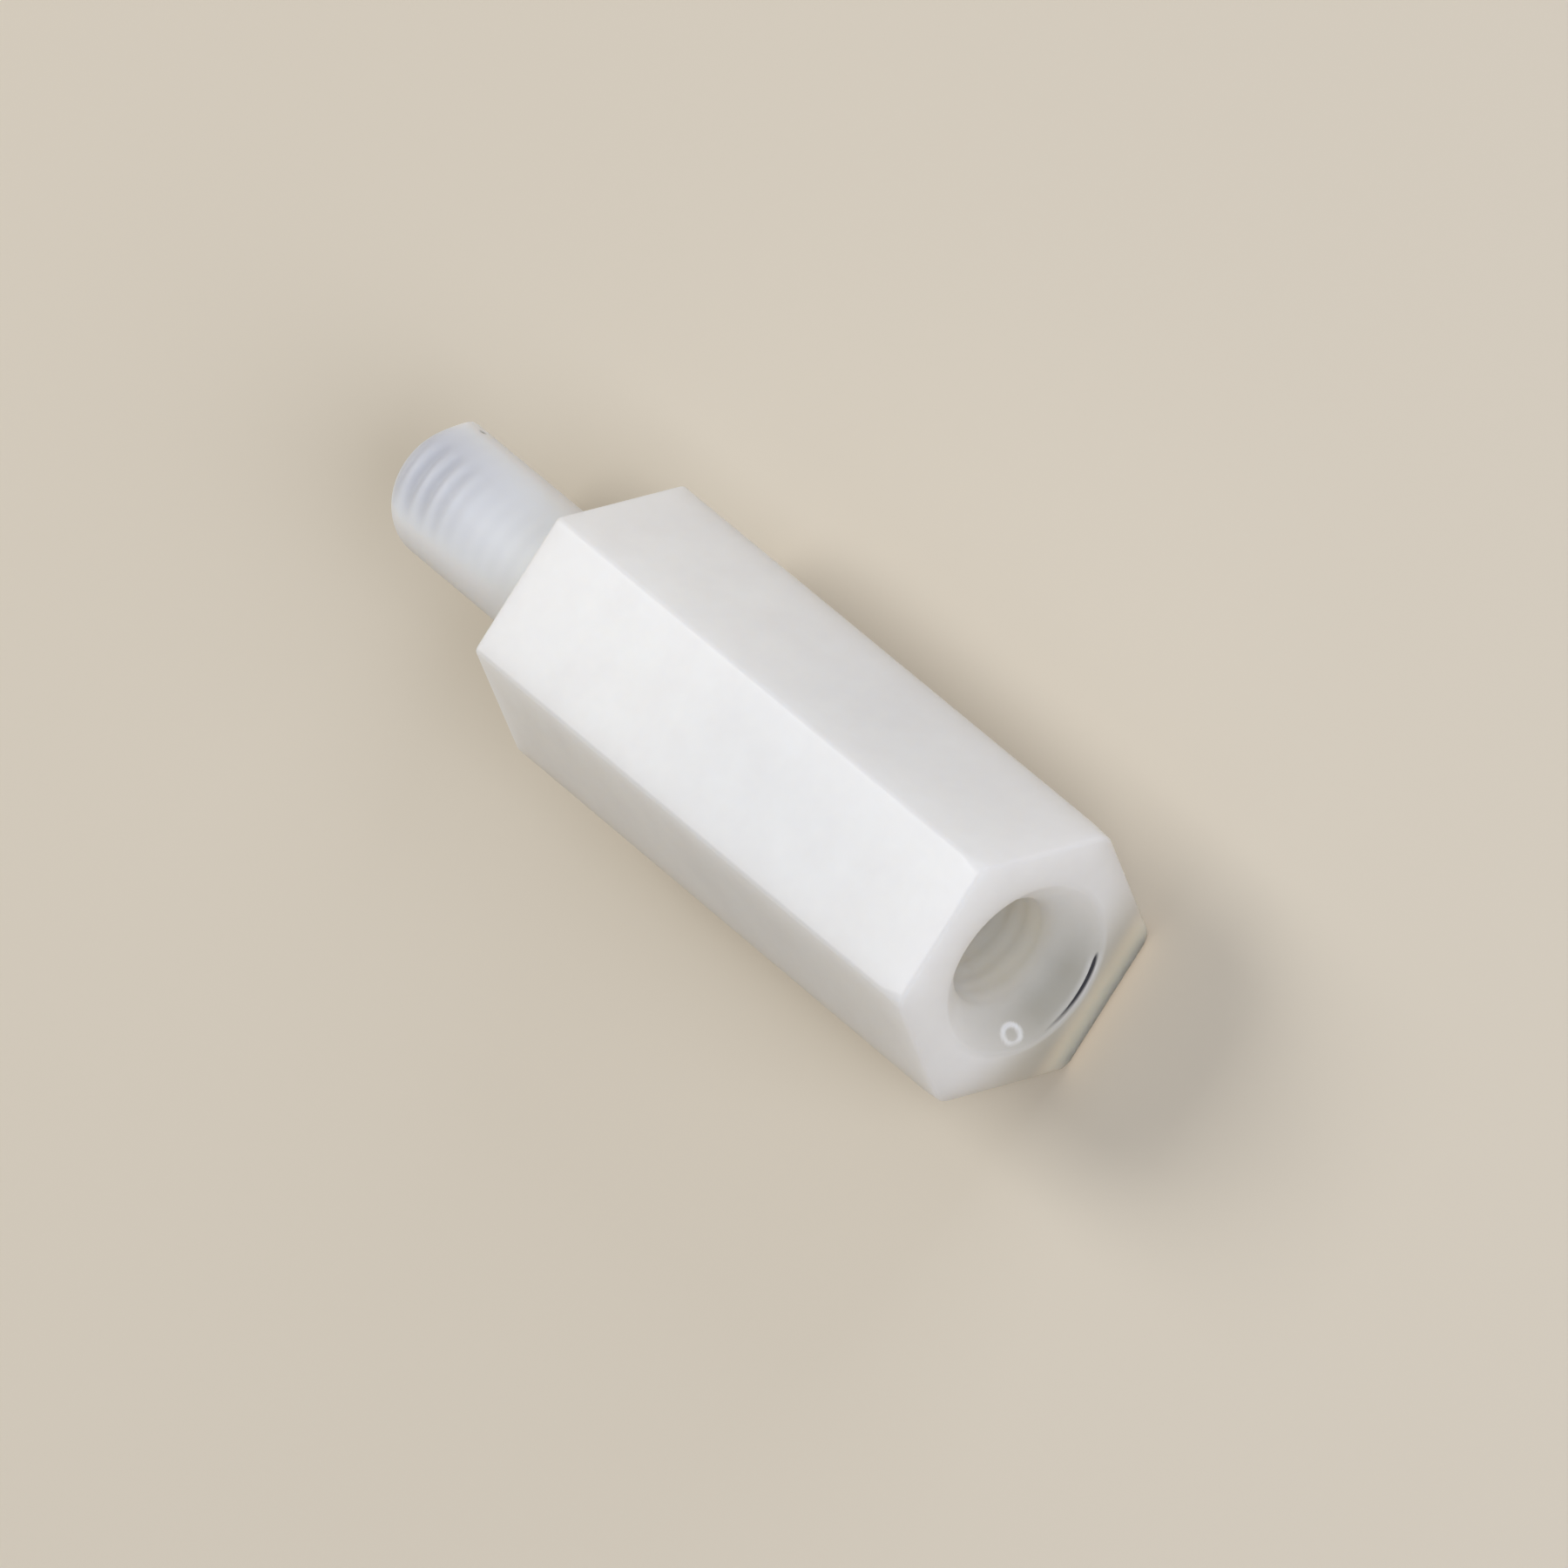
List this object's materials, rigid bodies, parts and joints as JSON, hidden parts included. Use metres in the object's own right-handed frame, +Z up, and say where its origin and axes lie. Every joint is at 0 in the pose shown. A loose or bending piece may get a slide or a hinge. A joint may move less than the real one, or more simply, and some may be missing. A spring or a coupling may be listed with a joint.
{
  "type": "hex standoff",
  "caption": "Moulded nylon hex standoff with a male threaded stud at one end and a countersunk blind tapped hole at the other.",
  "frame": {"origin": "centre of the shoulder that the stud stands on, on the axis of the stud and the hole", "axes": "+X along the axis from the stud towards the tapped end, +Z up from the flat that the body lies on"},
  "size_m": [0.021, 0.0066, 0.0058],
  "materials": {
    "nylon": "satin natural white, slightly translucent"
  },
  "bodies": {
    "root": {"standoff": "nylon"}
  },
  "joints": []
}
